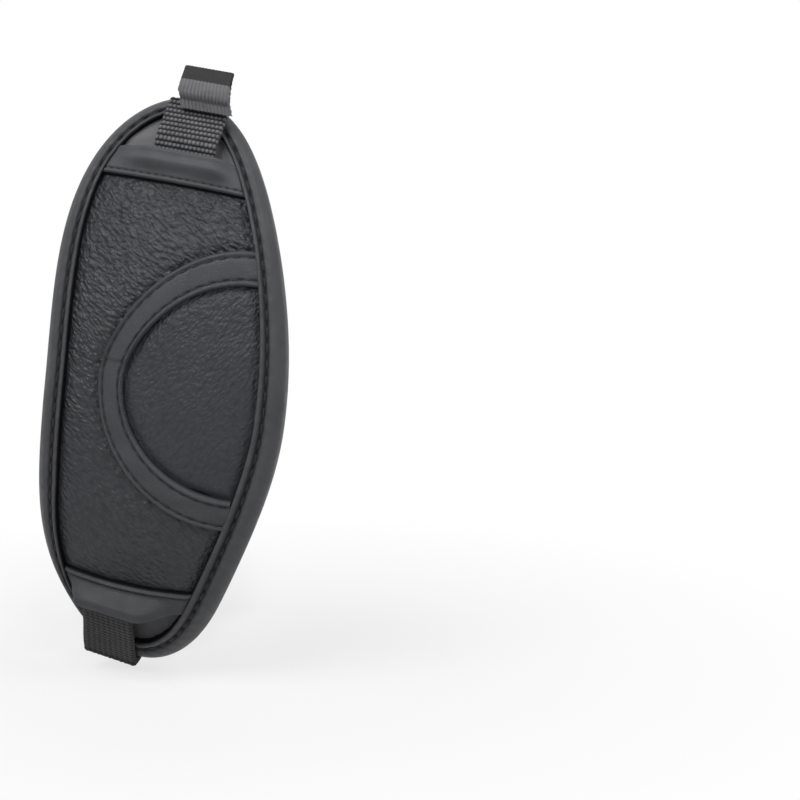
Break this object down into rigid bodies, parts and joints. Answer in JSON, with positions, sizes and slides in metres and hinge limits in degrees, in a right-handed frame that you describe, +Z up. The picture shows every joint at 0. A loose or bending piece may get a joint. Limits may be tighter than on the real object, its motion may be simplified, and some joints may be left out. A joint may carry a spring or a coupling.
{
  "type": "camera hand grip strap",
  "caption": "Padded leaf-shaped hand strap with a bound edge, curved trim band, webbing at both ends and a base plate with a captive tripod screw.",
  "frame": {"origin": "middle of the tripod screw, on the top face of the base plate's rubber pad, where the camera's base rests", "axes": "+Z up along the screw towards the camera, -Y out of the pad's leather face, +X to the right seen from the pad's leather side"},
  "size_m": [0.0547, 0.1276, 0.127],
  "materials": {
    "lining_cloth": "smooth black lining cloth against the hand",
    "plate_paint": "matt black powder coat",
    "smooth_leather": "smooth satin black leather",
    "binding_tape": "smooth satin binding, folded and stitched",
    "narrow_webbing": "smooth close-woven webbing, dark grey",
    "foam": "closed-cell foam, hidden between leather and lining",
    "half_moon_leather": "black leather with a fine pebble grain",
    "lower_panel_leather": "smooth satin black leather",
    "lower_pocket_cloth": "fine woven lining cloth",
    "lower_wide_webbing": "coarse ribbed webbing with a slight sheen",
    "grained_leather": "black leather with a fine pebble grain",
    "clip_steel": "spring steel",
    "seat_rubber": "matt black rubber",
    "screw_steel": "turned steel",
    "upper_panel_leather": "smooth satin black leather",
    "pocket_cloth": "fine woven lining cloth",
    "wide_webbing": "coarse ribbed webbing with a slight sheen"
  },
  "bodies": {
    "strap": {"back_lining": "lining_cloth", "base_plate": "plate_paint", "curved_band": "smooth_leather", "edge_binding": "binding_tape", "eyelet_webbing": "narrow_webbing", "foam_pad": "foam", "half_moon_panel": "half_moon_leather", "lower_end_panel": "lower_panel_leather", "lower_pocket_lining": "lower_pocket_cloth", "lower_webbing": "lower_wide_webbing", "main_panel": "grained_leather", "seat_pad": "seat_rubber", "upper_end_panel": "upper_panel_leather", "upper_pocket_lining": "pocket_cloth", "upper_webbing": "wide_webbing"},
    "screw": {"tripod_screw": "screw_steel", "screw_clip": "clip_steel"}
  },
  "joints": [
    {"name": "screw_turn", "type": "hinge", "parent": "strap", "child": "screw", "pos_m": [0, 0, 0], "axis": [0, 0, 1], "continuous": true}
  ]
}
